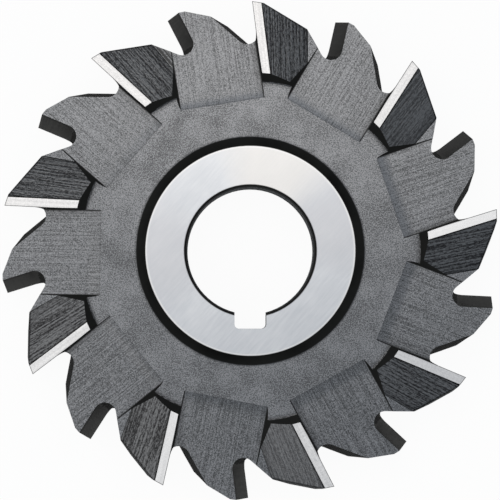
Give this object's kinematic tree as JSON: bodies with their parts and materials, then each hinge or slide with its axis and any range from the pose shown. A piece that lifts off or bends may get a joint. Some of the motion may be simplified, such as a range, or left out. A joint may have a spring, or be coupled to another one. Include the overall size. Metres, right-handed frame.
{
  "type": "side and face cutter",
  "caption": "Disc milling cutter with staggered teeth on its rim and both faces, a raised hub, a plain bore and a keyway.",
  "frame": {"origin": "on the axis of the bore, at the middle of the width", "axes": "+Z along the bore, out of the face that the picture shows; +Y away from the keyway, so the keyway lies towards -Y"},
  "size_m": [0.0994, 0.1, 0.013],
  "materials": {
    "tool_steel": "ground bright on hub faces and side lands, grey blasted webs, darkened gashes"
  },
  "bodies": {
    "root": {"cutter": "tool_steel"}
  },
  "joints": []
}
